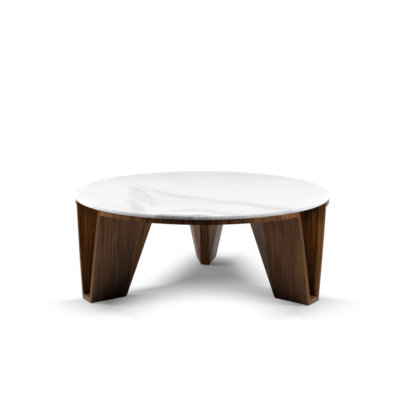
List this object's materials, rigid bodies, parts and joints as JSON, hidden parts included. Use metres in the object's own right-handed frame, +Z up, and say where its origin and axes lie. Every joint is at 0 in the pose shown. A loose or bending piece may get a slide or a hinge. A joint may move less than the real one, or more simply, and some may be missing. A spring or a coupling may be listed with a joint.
{
  "type": "round cocktail table",
  "caption": "Low round table: a thin marble disc lies on a wooden sub-top carried by hollow legs folded from flat walnut boards, each open to the outside.",
  "frame": {"origin": "on the floor under the middle of the top", "axes": "+Z up; the back leg stands towards +Y, the front legs towards -Y on the -X and +X sides"},
  "size_m": [1.0669, 1.067, 0.41],
  "materials": {
    "marble": "polished white marble with grey veins",
    "walnut_board": "satin oiled walnut",
    "walnut_lipping": "satin oiled walnut, grain upright",
    "silicone": "clear silicone",
    "steel": "zinc plated",
    "brass": "turned",
    "nylon": "moulded dark nylon"
  },
  "bodies": {
    "table_base": {"sub_top_panel": "walnut_board", "marble_pads": "silicone", "rim_band_left": "walnut_lipping", "rim_band_front": "walnut_lipping", "rim_band_right": "walnut_lipping", "back_leg_right_panel": "walnut_board", "back_leg_left_panel": "walnut_board", "back_leg_right_gusset": "walnut_board", "back_leg_left_gusset": "walnut_board", "back_leg_spine": "walnut_board", "back_leg_foot_plate": "walnut_board", "back_leg_cleat": "walnut_board", "front_left_leg_right_panel": "walnut_board", "front_left_leg_left_panel": "walnut_board", "front_left_leg_right_gusset": "walnut_board", "front_left_leg_left_gusset": "walnut_board", "front_left_leg_spine": "walnut_board", "front_left_leg_foot_plate": "walnut_board", "front_left_leg_cleat": "walnut_board", "front_right_leg_right_panel": "walnut_board", "front_right_leg_left_panel": "walnut_board", "front_right_leg_right_gusset": "walnut_board", "front_right_leg_left_gusset": "walnut_board", "front_right_leg_spine": "walnut_board", "front_right_leg_foot_plate": "walnut_board", "front_right_leg_cleat": "walnut_board", "leg_bolts": "steel", "bolt_washers": "steel", "cleat_inserts": "brass", "back_glide_insert": "brass", "front_left_glide_insert": "brass", "front_right_glide_insert": "brass"},
    "stone_top": {"marble_top": "marble"},
    "back_glide": {"back_glide_base": "nylon"},
    "back_stem": {"back_glide_stem": "steel"},
    "front_left_glide": {"front_left_glide_base": "nylon"},
    "front_left_stem": {"front_left_glide_stem": "steel"},
    "front_right_glide": {"front_right_glide_base": "nylon"},
    "front_right_stem": {"front_right_glide_stem": "steel"}
  },
  "joints": [
    {"name": "marble_lift", "type": "slide", "parent": "table_base", "child": "stone_top", "axis": [0, 0, 1], "range_m": [0, 0.25]},
    {"name": "back_glide_travel", "type": "slide", "parent": "table_base", "child": "back_glide", "axis": [0, 0, -1], "range_m": [0, 0.005]},
    {"name": "back_glide_turn", "type": "hinge", "parent": "back_glide", "child": "back_stem", "pos_m": [0, 0.47, 0.01], "axis": [0, 0, -1], "range_deg": [0, 1440]},
    {"name": "front_left_glide_travel", "type": "slide", "parent": "table_base", "child": "front_left_glide", "axis": [0, 0, -1], "range_m": [0, 0.005]},
    {"name": "front_left_glide_turn", "type": "hinge", "parent": "front_left_glide", "child": "front_left_stem", "pos_m": [-0.40703, -0.235, 0.01], "axis": [0, 0, -1], "range_deg": [0, 1440]},
    {"name": "front_right_glide_travel", "type": "slide", "parent": "table_base", "child": "front_right_glide", "axis": [0, 0, -1], "range_m": [0, 0.005]},
    {"name": "front_right_glide_turn", "type": "hinge", "parent": "front_right_glide", "child": "front_right_stem", "pos_m": [0.40703, -0.235, 0.01], "axis": [0, 0, -1], "range_deg": [0, 1440]}
  ],
  "couplings": [
    {"joint": "back_glide_turn", "follows": "back_glide_travel", "rad_per_m": 5026.5},
    {"joint": "front_left_glide_turn", "follows": "front_left_glide_travel", "rad_per_m": 5026.5},
    {"joint": "front_right_glide_turn", "follows": "front_right_glide_travel", "rad_per_m": 5026.5}
  ]
}
